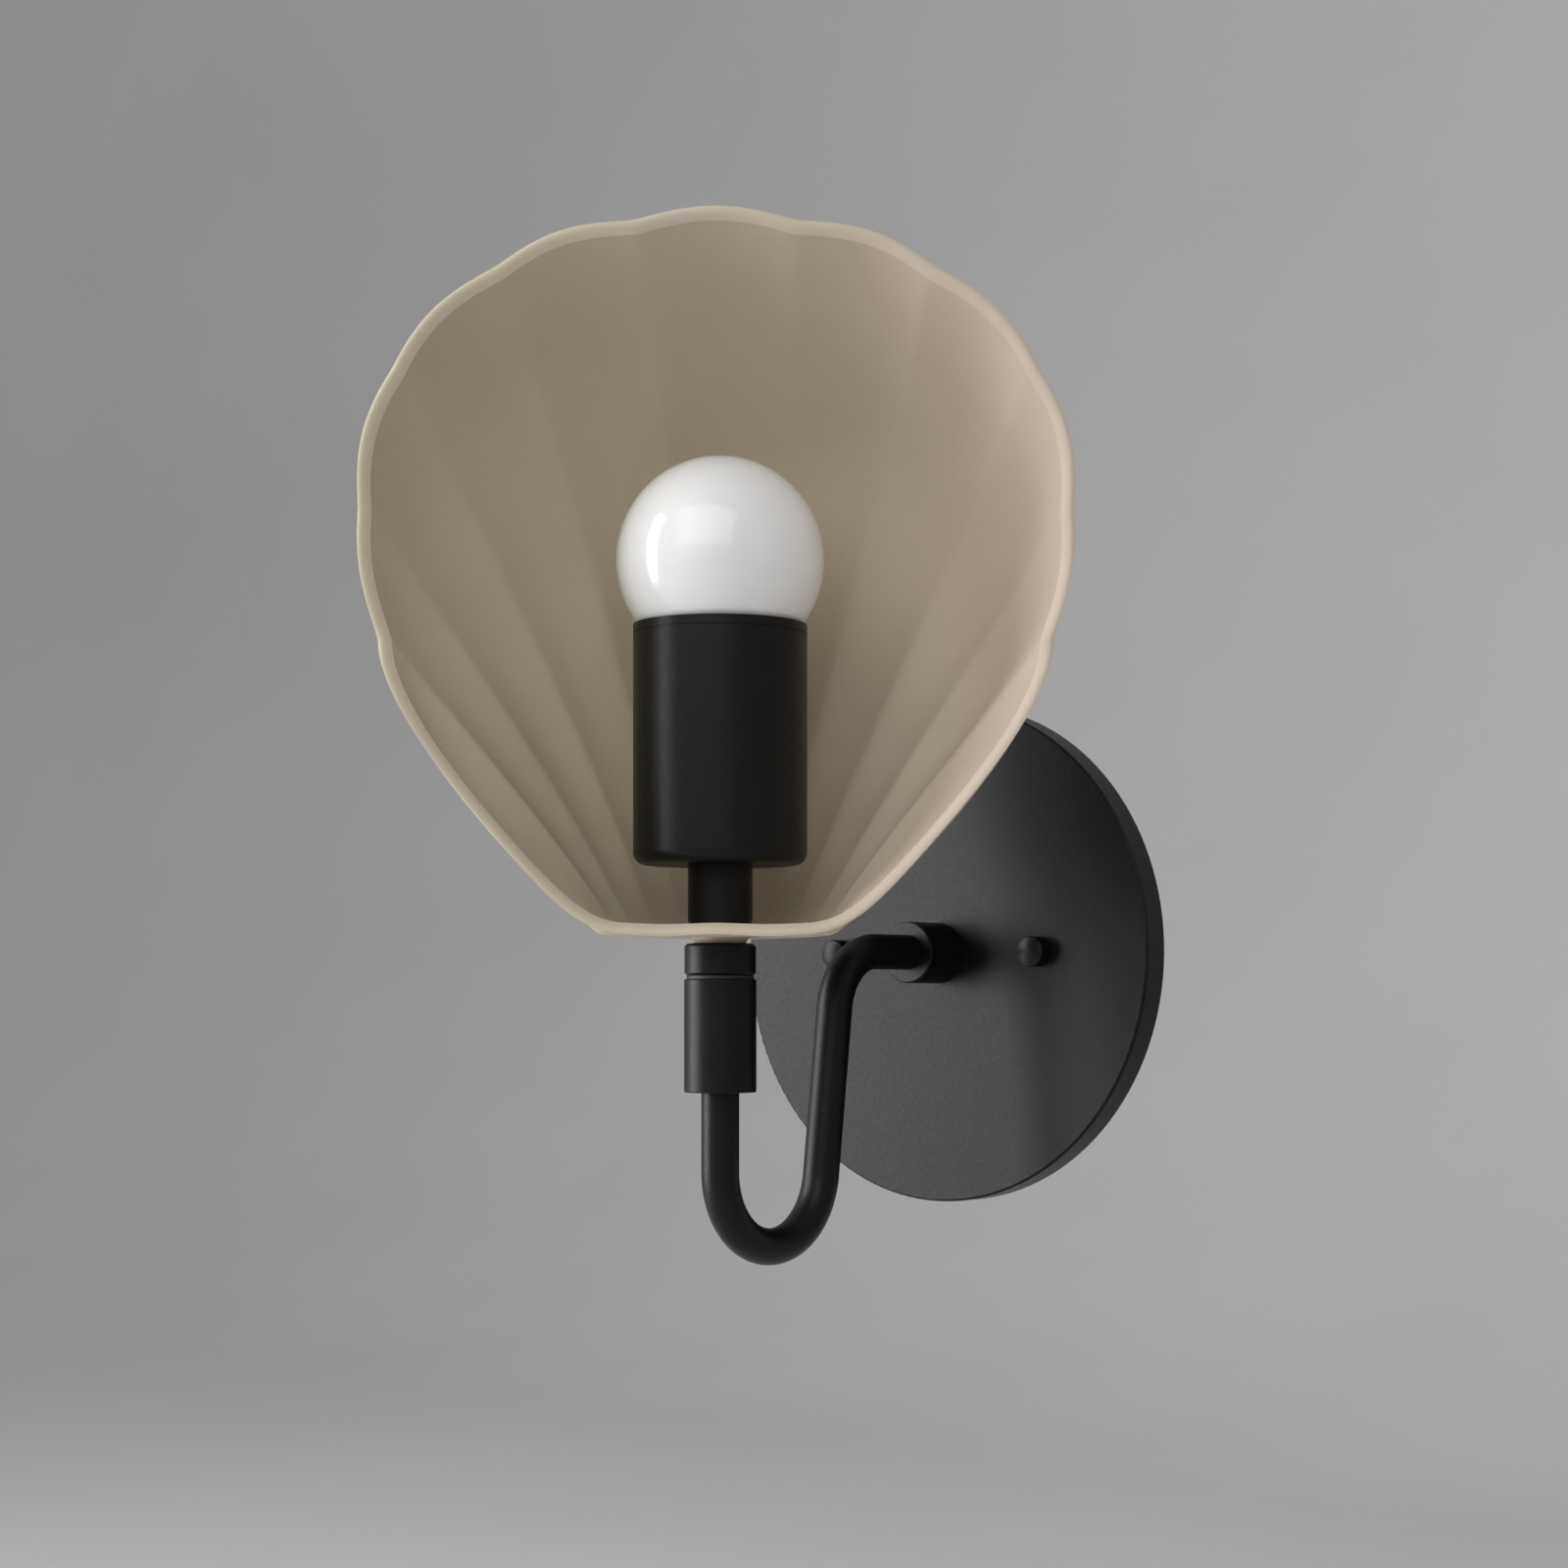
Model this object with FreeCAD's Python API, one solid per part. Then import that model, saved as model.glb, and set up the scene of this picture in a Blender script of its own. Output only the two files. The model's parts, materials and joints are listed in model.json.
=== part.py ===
import FreeCAD, Part
import math
import os

# Wall sconce: an upward fluted shell shade on a swivel, carried by a hooked arm from a round backplate.
# Millimetres. +Z up, the wall is the plane Y = 0, the lamp stands out towards -Y, +X is the viewer's right.
# The origin is the centre of the two wall-box screw slots, on the wall face.

# ---- backplate and its fixings ----
PLATE_R = 67.5
PLATE_DEPTH = 8.0
PLATE_WALL = 1.6
PLATE_EDGE_ROUND = 0.6
STUD_SPACING = 66.8
STUD_R = 2.0
STUD_CLEARANCE = 0.3
STRAP_THICK = 2.0
STRAP_WIDTH = 16.0
STRAP_END = 3.55
BOX_SCREW_SPACING = 88.9
BOX_SLOT_WIDTH = 4.6
BOX_SLOT_LENGTH = 10.0
STRAP_LENGTH = BOX_SCREW_SPACING + BOX_SLOT_LENGTH + 2 * STRAP_END
GROUND_SCREW_X = 17.0
GROUND_SCREW_R = 2.0
GROUND_HEAD_R = 3.6
GROUND_HEAD_H = 2.0
GROUND_SLOT = 1.0
CAP_NUT_R = 4.05
CAP_NUT_LENGTH = 4.4
CAP_NUT_DOME = 0.7
CAP_NUT_ROUND = 0.6
CAP_NUT_END_WALL = 1.2

# ---- hub that carries the arm ----
HUB_R = 8.25
HUB_LENGTH = 13.6
HUB_ROUND = 0.5
NIPPLE_R = 5.0
NIPPLE_BORE_R = 3.6
NIPPLE_REACH = 5.4
NIPPLE_STRAP_GAP = 0.3
HUB_WASHER_R = 8.5
HUB_WASHER_THICK = 0.6
HUB_NUT_FLATS = 14.0
HUB_NUT_THICK = 3.0

# ---- arm ----
TUBE_R = 4.7
TUBE_WALL = 0.9
ARM_REACH = 97.15
ARM_TOP_BEND_R = 17.0
ARM_LEAN_DEG = 7.2
ARM_LEG = 43.4
ARM_HOOK_R = 19.7
ARM_SEAT = 6.0

# ---- swivel ----
SWIVEL_R = 8.95
SWIVEL_BOTTOM_Z = -35.7
SWIVEL_TOP_Z = -7.7
SWIVEL_TOP_WALL = 3.0
SWIVEL_CHAMBER_R = 6.75
SWIVEL_ROUND = 0.4
SWIVEL_RUN_GAP = 0.06
PLUG_HEIGHT = 8.0
STEM_R = 5.0
STEM_BORE_R = 3.3
STEM_FLANGE_R = 6.4
STEM_FLANGE_H = 3.2
STEM_LUG_H = 3.8
STEM_LUG_DEG = 16.0
STOP_PIN_R = 0.75
STOP_PIN_TIP = 5.45
STOP_PIN_SUNK = 0.5
WASHER_GAP = 0.8
WASHER_R = 8.35
RING_R = 8.85
RING_H = 8.0
RING_BEVEL = 0.7
SHADE_YAW_DEG = 39.0

# ---- shell shade ----
SHELL_WALL = 2.8
FLUTES = 11
# where the ribs of one flute stand, as shares of its width: close together at its ridge
FLUTE_RIBS = (0.0, 0.06, 0.2, 0.4, 0.6, 0.8, 0.94)
LIP_STEPS = 12
WALL_ROWS = 9
RIM_FRONT = 24.5
FLOOR_Z = 4.0
FLOOR_HALF_WIDTH = 28.0
FLOOR_FRONT = 18.0
FLOOR_BACK = 28.0
LIP_HALF_WIDTH = 31.2
SIDE_KNEE = (80.3, 58.9)
# half of the rim's ridge ends, right side, as (sideways, up) from the centre pair down to the last pair
RIM_RIDGES = ((19.4, 172.0), (51.8, 161.1), (76.1, 137.3), (84.1, 103.8), (79.3, 72.9))
# how far each flute's rim stands out past its two ridges, from the centre flute to the last
RIM_SCALLOPS = (2.3, 1.7, 1.35, 1.65, 1.2, 1.2)
BELLY_BACK = 36.0
BELLY_RISE = 0.33
BELLY_SPREAD = 0.25
BELLY_ROUND_POWER = 0.85
MOUTH_BACK = 69.5
MOUTH_DROP = 0.12
MOUTH_FLARE = 0.1
FLUTE_DEPTH = 3.2
RIDGE_SOFT = 0.08
VALLEY_SOFT = 0.34
SCALLOP_POWER = 4
FLUTE_DEPTH_POWER = 0.8
FLUTE_RISE_POWER = 4
RIM_FLATTEN_POWER = 4
RIM_BEVEL = 2.1
RIM_BEVEL_POWER = 2
RIM_ROLL = 1.6
CORNER_INSET = 0.04
RIB_STEP = 0.02
LIP_WAVE = 0.35
LIP_WAVES = 2.5
FLOOR_STEPS = (0.0, 0.3, 0.6, 0.84)
SHADE_HOLE_R = 5.4
NECK_HOLE_R = 5.42
NECK_TOP_R = 7.1
NECK_BOTTOM_R = 6.3

# ---- post, socket and cup ----
SHADE_WASHER_R = 7.8
SHADE_WASHER_THICK = 1.1
POST_R = 8.0
POST_BORE_R = 5.1
CUP_R = 21.5
CUP_WALL = 0.8
CUP_FLOOR = 1.5
CUP_BOTTOM_Z = 20.5
CUP_HEIGHT = 59.2
CUP_CORNER_R = 3.0
CUP_BEAD_DROP = 2.4
CUP_BEAD_DEPTH = 0.25
STEM_NUT_FLATS = 14.0
STEM_NUT_H = 3.5
STEM_TOP_Z = 28.0
BRACKET_THICK = 1.0
BRACKET_WIDTH = 12.0
BRACKET_HALF = 14.5
BRACKET_FOOT = 5.8
BRACKET_SCREW_X = 16.8
BRACKET_FOOT_WIDTH = 7.2
INSULATOR_R = 20.0
INSULATOR_TOP_DROP = 10.7
INSULATOR_HEIGHT = 32.0
INSULATOR_FLOOR = 4.0
INSULATOR_BEVEL = 1.5
SCREW_SHELL_R = 14.0
SCREW_SHELL_WALL = 0.45
SCREW_SHELL_BOTTOM_RISE = 2.5
SCREW_SHELL_TOP_DROP = 1.5
SCREW_SHELL_MOUTH_R = 8.1
SCREW_SHELL_SEAT = 2.0
CONTACT_R = 4.6
CONTACT_H = 1.2
BRACKET_SCREW_R = 1.25
BRACKET_SCREW_HEAD_R = 2.0
BRACKET_SCREW_HEAD_H = 1.4
BRACKET_SCREW_GRIP = 3.0
TERMINAL_Y = 13.5
TERMINAL_SCREW_R = 1.7
TERMINAL_HEAD_R = 3.2
TERMINAL_HEAD_H = 2.0
TERMINAL_GRIP = 2.6

# ---- bulb ----
GLOBE_R = 25.7
GLOBE_RISE = 15.9
GLOBE_WALL = 1.2
GLOBE_NECK_R = 13.0
GLOBE_NECK_BLEND_DROP = 21.2
GLOBE_NECK_DROP = 2.6
GLOBE_BLEND_PULL = 1.4
GLOBE_NECK_PULL = 1.2
GLOBE_INNER_LIFT = 0.4
CAP_TOP_DROP = 2.0
CAP_BOTTOM_RISE = 2.0
CAP_R = 13.05
THREAD_DEPTH = 0.7
THREAD_SHOULDER = 0.15
THREAD_PITCH = 3.629
CAP_WALL = 0.4
TIP_R = 4.7
TIP_H = 1.2
TIP_STEP = 0.6
BULB_INSULATOR_GRIP = 1.5
LED_POST_R = 5.0
LED_POST_TOP_DROP = 11.6
LED_DISC_R = 9.0
LED_DISC_H = 1.6
LED_PLUG_H = 4.0

# ---- cable ----
CABLE_R = 2.2
LEAD_R = 0.9
LEAD_BEND = 5.0
CABLE_LAP = 0.5
CABLE_GAP = 0.1

# how far a cutting shape runs past the face that it opens
PAST = 1.0

SWIVEL_AXIS_Y = -ARM_REACH
ARM_LEAN = math.radians(ARM_LEAN_DEG)
ARM_OUT = (ARM_REACH - PLATE_DEPTH - HUB_LENGTH - ARM_TOP_BEND_R * math.cos(ARM_LEAN)
           - ARM_LEG * math.sin(ARM_LEAN) - ARM_HOOK_R * (1.0 + math.cos(ARM_LEAN)))
RING_BOTTOM_Z = SWIVEL_TOP_Z + WASHER_GAP
RING_TOP_Z = RING_BOTTOM_Z + RING_H
FLOOR_UNDER_Z = FLOOR_Z - SHELL_WALL / 2
FLOOR_TOP_Z = FLOOR_Z + SHELL_WALL / 2
POST_BOTTOM_Z = FLOOR_TOP_Z + SHADE_WASHER_THICK
CUP_TOP_Z = CUP_BOTTOM_Z + CUP_HEIGHT
INSULATOR_TOP_Z = CUP_TOP_Z - INSULATOR_TOP_DROP
INSULATOR_BOTTOM_Z = INSULATOR_TOP_Z - INSULATOR_HEIGHT
INSULATOR_SEAT_Z = INSULATOR_BOTTOM_Z + INSULATOR_FLOOR
SCREW_SHELL_BOTTOM_Z = INSULATOR_SEAT_Z + SCREW_SHELL_BOTTOM_RISE
SCREW_SHELL_TOP_Z = INSULATOR_TOP_Z - SCREW_SHELL_TOP_DROP
GLOBE_Z = CUP_TOP_Z + GLOBE_RISE
GLOBE_NECK_BLEND_Z = GLOBE_Z - GLOBE_NECK_BLEND_DROP
CAP_TOP_Z = INSULATOR_TOP_Z - CAP_TOP_DROP
CAP_BOTTOM_Z = SCREW_SHELL_BOTTOM_Z + CAP_BOTTOM_RISE
TIP_Z = INSULATOR_SEAT_Z + CONTACT_H
LED_POST_TOP_Z = GLOBE_Z - LED_POST_TOP_DROP

Y = FreeCAD.Vector(0, 1, 0)
Z = FreeCAD.Vector(0, 0, 1)


def vec(x, y, z):
    return FreeCAD.Vector(x, y, z)


def on_axis(shape):
    """Carries a shape built round the origin's vertical line out to the swivel axis, turned with the shade."""
    placed = shape.copy()
    placed.rotate(vec(0, 0, 0), Z, SHADE_YAW_DEG)
    placed.translate(vec(0, SWIVEL_AXIS_Y, 0))
    return placed


def disc(radius, bottom, top):
    return Part.makeCylinder(radius, top - bottom, vec(0, 0, bottom))


def ring(radius, bore, bottom, top):
    return disc(radius, bottom, top).cut(disc(bore, bottom - PAST, top + PAST))


def out_disc(radius, back, front, x=0.0, z=0.0):
    """A cylinder standing out from the wall, from depth back to depth front."""
    return Part.makeCylinder(radius, front - back, vec(x, -back, z), vec(0, -1, 0))


def hexagon(flats, base, direction, height):
    """A hexagonal prism standing on base along direction."""
    radius = flats / math.sqrt(3)
    corners = []
    for corner in range(7):
        turn = math.radians(60 * corner)
        corners.append(vec(radius * math.cos(turn), radius * math.sin(turn), 0))
    prism = Part.Face(Part.makePolygon(corners)).extrude(vec(0, 0, height))
    prism.Placement = FreeCAD.Placement(base, FreeCAD.Rotation(Z, direction))
    return prism


def revolve_profile(points):
    """Turns a closed outline of (radius, height) points round the vertical line."""
    outline = []
    for radius, height in points:
        outline.append(vec(radius, 0, height))
    outline.append(outline[0])
    return Part.Face(Part.makePolygon(outline)).revolve(vec(0, 0, 0), Z, 360)


def edges_at(shape, keep):
    chosen = []
    for edge in shape.Edges:
        if keep(edge):
            chosen.append(edge)
    return chosen


def stud_places():
    return (-STUD_SPACING / 2, STUD_SPACING / 2)


# ---------------------------------------------------------------- wall side
def backplate():
    plate = out_disc(PLATE_R, 0, PLATE_DEPTH)
    front = edges_at(plate, lambda e: abs(e.CenterOfMass.y + PLATE_DEPTH) < 0.01 and len(e.Vertexes) == 1)
    plate = plate.makeFillet(PLATE_EDGE_ROUND, front)
    plate = plate.cut(out_disc(PLATE_R - PLATE_WALL, -PAST, PLATE_DEPTH - PLATE_WALL))
    plate = plate.cut(out_disc(NIPPLE_R, -PAST, PLATE_DEPTH + PAST))
    for x in stud_places():
        plate = plate.cut(out_disc(STUD_R + STUD_CLEARANCE, -PAST, PLATE_DEPTH + PAST, x))
    return plate


def mounting_strap():
    half = STRAP_LENGTH / 2 - STRAP_WIDTH / 2
    bar = Part.makeBox(2 * half, STRAP_THICK, STRAP_WIDTH, vec(-half, -STRAP_THICK, -STRAP_WIDTH / 2))
    for side in (-1, 1):
        bar = bar.fuse(out_disc(STRAP_WIDTH / 2, 0, STRAP_THICK, side * half))
    for side in (-1, 1):
        centre = side * BOX_SCREW_SPACING / 2
        run = BOX_SLOT_LENGTH / 2 - BOX_SLOT_WIDTH / 2
        slot = Part.makeBox(2 * run, STRAP_THICK + 2 * PAST, BOX_SLOT_WIDTH,
                            vec(centre - run, -STRAP_THICK - PAST, -BOX_SLOT_WIDTH / 2))
        for end in (-1, 1):
            slot = slot.fuse(out_disc(BOX_SLOT_WIDTH / 2, -PAST, STRAP_THICK + PAST, centre + end * run))
        bar = bar.cut(slot)
    for x in stud_places():
        bar = bar.cut(out_disc(STUD_R, -PAST, STRAP_THICK + PAST, x))
    bar = bar.cut(out_disc(NIPPLE_R + STUD_CLEARANCE, -PAST, STRAP_THICK + PAST))
    bar = bar.cut(out_disc(GROUND_SCREW_R, -PAST, STRAP_THICK + PAST, GROUND_SCREW_X))
    return bar.removeSplitter()


def mounting_studs():
    studs = []
    reach = PLATE_DEPTH + CAP_NUT_LENGTH - CAP_NUT_END_WALL
    for x in stud_places():
        studs.append(out_disc(STUD_R, 0, reach, x))
    return Part.makeCompound(studs)


def cap_nuts():
    nuts = []
    for x in stud_places():
        body = out_disc(CAP_NUT_R, PLATE_DEPTH, PLATE_DEPTH + CAP_NUT_LENGTH, x)
        front = edges_at(body, lambda e: abs(e.CenterOfMass.y + PLATE_DEPTH + CAP_NUT_LENGTH) < 0.01
                         and len(e.Vertexes) == 1)
        body = body.makeFillet(CAP_NUT_ROUND, front)
        face_r = CAP_NUT_R - CAP_NUT_ROUND
        ball_r = (face_r ** 2 + CAP_NUT_DOME ** 2) / (2 * CAP_NUT_DOME)
        centre = PLATE_DEPTH + CAP_NUT_LENGTH + CAP_NUT_DOME - ball_r
        ball = Part.makeSphere(ball_r, vec(x, -centre, 0))
        cap = ball.common(out_disc(face_r, PLATE_DEPTH + CAP_NUT_LENGTH - CAP_NUT_DOME,
                                   PLATE_DEPTH + CAP_NUT_LENGTH + PAST, x))
        body = body.fuse(cap)
        hole_end = PLATE_DEPTH + CAP_NUT_LENGTH - CAP_NUT_END_WALL
        nuts.append(body.cut(out_disc(STUD_R, PLATE_DEPTH - PAST, hole_end, x)))
    return Part.makeCompound(nuts)


def ground_screw():
    shank = out_disc(GROUND_SCREW_R, 0, STRAP_THICK, GROUND_SCREW_X)
    head = out_disc(GROUND_HEAD_R, STRAP_THICK, STRAP_THICK + GROUND_HEAD_H, GROUND_SCREW_X)
    slot = Part.makeBox(2 * GROUND_HEAD_R, GROUND_SLOT, GROUND_SLOT,
                        vec(GROUND_SCREW_X - GROUND_HEAD_R, -STRAP_THICK - GROUND_HEAD_H, -GROUND_SLOT / 2))
    return shank.fuse(head).cut(slot)


def hub():
    front = PLATE_DEPTH + HUB_LENGTH
    body = out_disc(HUB_R, PLATE_DEPTH, front)
    rim = edges_at(body, lambda e: abs(e.CenterOfMass.y + front) < 0.01 and len(e.Vertexes) == 1)
    body = body.makeFillet(HUB_ROUND, rim)
    body = body.cut(out_disc(TUBE_R, PLATE_DEPTH - PAST, front + PAST))
    return body.cut(out_disc(NIPPLE_R, PLATE_DEPTH - PAST, PLATE_DEPTH + NIPPLE_REACH))


def hub_nipple():
    back = STRAP_THICK + NIPPLE_STRAP_GAP
    front = PLATE_DEPTH + NIPPLE_REACH
    return out_disc(NIPPLE_R, back, front).cut(out_disc(NIPPLE_BORE_R, back - PAST, front + PAST))


def hub_washer():
    front = PLATE_DEPTH - PLATE_WALL
    back = front - HUB_WASHER_THICK
    return out_disc(HUB_WASHER_R, back, front).cut(out_disc(NIPPLE_R, back - PAST, front + PAST))


def hub_nut():
    front = PLATE_DEPTH - PLATE_WALL - HUB_WASHER_THICK
    back = front - HUB_NUT_THICK
    nut = hexagon(HUB_NUT_FLATS, vec(0, -back, 0), vec(0, -1, 0), HUB_NUT_THICK)
    return nut.cut(out_disc(NIPPLE_R, back - PAST, front + PAST))


# ---------------------------------------------------------------- arm
def arm_path():
    """The arm's centre line: out of the hub, down a leaning leg, round the hook and up into the swivel."""
    start_y = -(PLATE_DEPTH + NIPPLE_REACH)
    bend_y = -(PLATE_DEPTH + HUB_LENGTH + ARM_OUT)
    drop = math.pi / 2 - ARM_LEAN

    def top_bend(turn):
        return vec(0, bend_y - ARM_TOP_BEND_R * math.sin(turn),
                   ARM_TOP_BEND_R * math.cos(turn) - ARM_TOP_BEND_R)

    leg_top = top_bend(drop)
    leg_way = vec(0, -math.sin(ARM_LEAN), -math.cos(ARM_LEAN))
    leg_end = leg_top + leg_way * ARM_LEG
    hook_centre = leg_end + vec(0, -math.cos(ARM_LEAN), math.sin(ARM_LEAN)) * ARM_HOOK_R

    def hook(turn):
        return hook_centre + vec(0, math.cos(ARM_LEAN + turn), -math.sin(ARM_LEAN + turn)) * ARM_HOOK_R

    hook_turn = math.pi - ARM_LEAN
    hook_end = hook(hook_turn)
    end = vec(0, hook_end.y, SWIVEL_BOTTOM_Z + ARM_SEAT)
    edges = [
        Part.makeLine(vec(0, start_y, 0), top_bend(0)),
        Part.Arc(top_bend(0), top_bend(drop / 2), leg_top).toShape(),
        Part.makeLine(leg_top, leg_end),
        Part.Arc(leg_end, hook(hook_turn / 2), hook_end).toShape(),
        Part.makeLine(hook_end, end),
    ]
    return Part.Wire(edges)


def along_arm(radius):
    path = arm_path()
    start = path.Edges[0].Vertexes[0].Point
    section = Part.Wire(Part.makeCircle(radius, start, vec(0, -1, 0)))
    return path.makePipeShell([section], True, False)


def arm_tube():
    return along_arm(TUBE_R).cut(along_arm(TUBE_R - TUBE_WALL))


def arm_cable():
    """The supply cable: from the nipple's back end through the hub and arm to the top of the arm."""
    tail = out_disc(CABLE_R, STRAP_THICK, PLATE_DEPTH + NIPPLE_REACH + CABLE_LAP)
    rise_from = SWIVEL_BOTTOM_Z + ARM_SEAT
    rise = Part.makeCylinder(CABLE_R, SWIVEL_TOP_Z - rise_from, vec(0, SWIVEL_AXIS_Y, rise_from))
    return along_arm(CABLE_R).fuse(tail).fuse(rise).removeSplitter()


# ---------------------------------------------------------------- swivel
def swivel_body():
    body = disc(SWIVEL_R, SWIVEL_BOTTOM_Z, SWIVEL_TOP_Z)
    rims = edges_at(body, lambda e: len(e.Vertexes) == 1)
    body = body.makeFillet(SWIVEL_ROUND, rims)
    body = body.cut(disc(SWIVEL_CHAMBER_R, SWIVEL_BOTTOM_Z - PAST, SWIVEL_TOP_Z - SWIVEL_TOP_WALL))
    body = body.cut(disc(STEM_R + SWIVEL_RUN_GAP, SWIVEL_BOTTOM_Z, SWIVEL_TOP_Z + PAST))
    body.translate(vec(0, SWIVEL_AXIS_Y, 0))
    return body.cut(stop_pin())


def stop_pin():
    """A short pin in the swivel's wall side; the lug on the stem meets it at either end of the turn."""
    height = SWIVEL_TOP_Z - SWIVEL_TOP_WALL - STEM_FLANGE_H - STEM_LUG_H / 2
    length = SWIVEL_R - STOP_PIN_SUNK - STOP_PIN_TIP
    return Part.makeCylinder(STOP_PIN_R, length, vec(0, SWIVEL_AXIS_Y + STOP_PIN_TIP, height), Y)


def swivel_plug():
    plug = ring(SWIVEL_CHAMBER_R, TUBE_R, SWIVEL_BOTTOM_Z, SWIVEL_BOTTOM_Z + PLUG_HEIGHT)
    plug.translate(vec(0, SWIVEL_AXIS_Y, 0))
    return plug


def swivel_stem():
    flange_top = SWIVEL_TOP_Z - SWIVEL_TOP_WALL - SWIVEL_RUN_GAP
    flange_bottom = flange_top - STEM_FLANGE_H
    lug_bottom = flange_bottom - STEM_LUG_H
    stem = disc(STEM_R, lug_bottom, STEM_TOP_Z)
    stem = stem.fuse(disc(STEM_FLANGE_R, flange_bottom, flange_top))
    lug = Part.makeCylinder(STEM_FLANGE_R, STEM_LUG_H, vec(0, 0, lug_bottom), Z, STEM_LUG_DEG)
    lug.rotate(vec(0, 0, 0), Z, -90 - STEM_LUG_DEG / 2)
    stem = stem.fuse(lug)
    return on_axis(stem.cut(disc(STEM_BORE_R, lug_bottom - PAST, STEM_TOP_Z + PAST)))


def swivel_washer():
    return on_axis(ring(WASHER_R, STEM_R, SWIVEL_TOP_Z, RING_BOTTOM_Z))


def swivel_ring():
    body = disc(RING_R, RING_BOTTOM_Z, RING_TOP_Z)
    rims = edges_at(body, lambda e: len(e.Vertexes) == 1)
    body = body.makeChamfer(RING_BEVEL, rims)
    return on_axis(body.cut(disc(STEM_R, RING_BOTTOM_Z - PAST, RING_TOP_Z + PAST)))


# ---------------------------------------------------------------- shell shade
def ridge_end(number):
    """The rim's ridge ends, numbered 1 to 5 from the centre out; 6 stands just below the last one."""
    side = 1 if number > 0 else -1
    index = abs(number) - 1
    if index < len(RIM_RIDGES):
        across, up = RIM_RIDGES[index]
    else:
        across, up = (RIM_RIDGES[-1][0] + SIDE_KNEE[0]) / 2, SIDE_KNEE[1]
    return side * across, up


def smooth_between(before, start, end, after, share):
    """A smooth curve from start to end that heads along its neighbours' chords."""
    squared = share * share
    cubed = squared * share
    return 0.5 * (2 * start + (end - before) * share
                  + (2 * before - 5 * start + 4 * end - after) * squared
                  + (3 * start - before - 3 * end + after) * cubed)


def rim_mean(place):
    """The rim's even line under the flutes; place counts flutes from the centre, to half their number."""
    side = 1 if place >= 0 else -1
    distance = abs(place)
    last = FLUTES / 2 - 1
    if distance <= last:
        lower = int(math.floor(distance - 0.5)) + 1
        share = distance - 0.5 - (lower - 1)
        numbers = []
        for number in range(lower - 1, lower + 3):
            numbers.append(number if number > 0 else number - 1)
        ends = [ridge_end(number) for number in numbers]
        across = smooth_between(ends[0][0], ends[1][0], ends[2][0], ends[3][0], share)
        up = smooth_between(ends[0][1], ends[1][1], ends[2][1], ends[3][1], share)
        return side * across, up
    share = distance - last
    rest = 1 - share
    across, up = RIM_RIDGES[-1]
    knee_across, knee_up = SIDE_KNEE
    across = rest ** 2 * across + 2 * share * rest * knee_across + share ** 2 * LIP_HALF_WIDTH
    up = rest ** 2 * up + 2 * share * rest * knee_up + share ** 2 * FLOOR_Z
    return side * across, up


def floor_edge(place):
    """Where the flat floor turns up into the wall of the shade."""
    turn = math.pi / 2 * place / (FLUTES / 2)
    back = -FLOOR_FRONT + (FLOOR_BACK + FLOOR_FRONT) * math.cos(turn)
    return FLOOR_HALF_WIDTH * math.sin(turn), back


def wall_point(place, share):
    """The middle of the shade's wall, before fluting: share runs from the floor edge to the rim."""
    turn = math.pi / 2 * place / (FLUTES / 2)
    depth = math.cos(turn)
    across, up = rim_mean(place)
    foot_across, foot_back = floor_edge(place)
    first = vec(foot_across, foot_back, FLOOR_Z)
    second = vec(foot_across + BELLY_SPREAD * (across - foot_across),
                 foot_back + BELLY_BACK * depth ** BELLY_ROUND_POWER, FLOOR_Z + BELLY_RISE * (up - FLOOR_Z))
    third = vec(across - MOUTH_FLARE * (across - foot_across), -RIM_FRONT + MOUTH_BACK * depth,
                up - MOUTH_DROP * (up - FLOOR_Z))
    fourth = vec(across, -RIM_FRONT, up)
    rest = 1 - share
    return (first * rest ** 3 + second * (3 * rest ** 2 * share)
            + third * (3 * rest * share ** 2) + fourth * share ** 3)


def flute_swell(place, soft):
    """How far out a flute stands: nothing on its two ridges, full in its middle, and soft at the ridges."""
    wave = math.sin(math.pi * (place + 0.5))
    full = math.hypot(1, soft) - soft
    return (math.hypot(wave, soft) - soft) / full


def rim_scallop(place):
    number = min(int(abs(place) + 0.5), len(RIM_SCALLOPS) - 1)
    return RIM_SCALLOPS[number]


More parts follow.
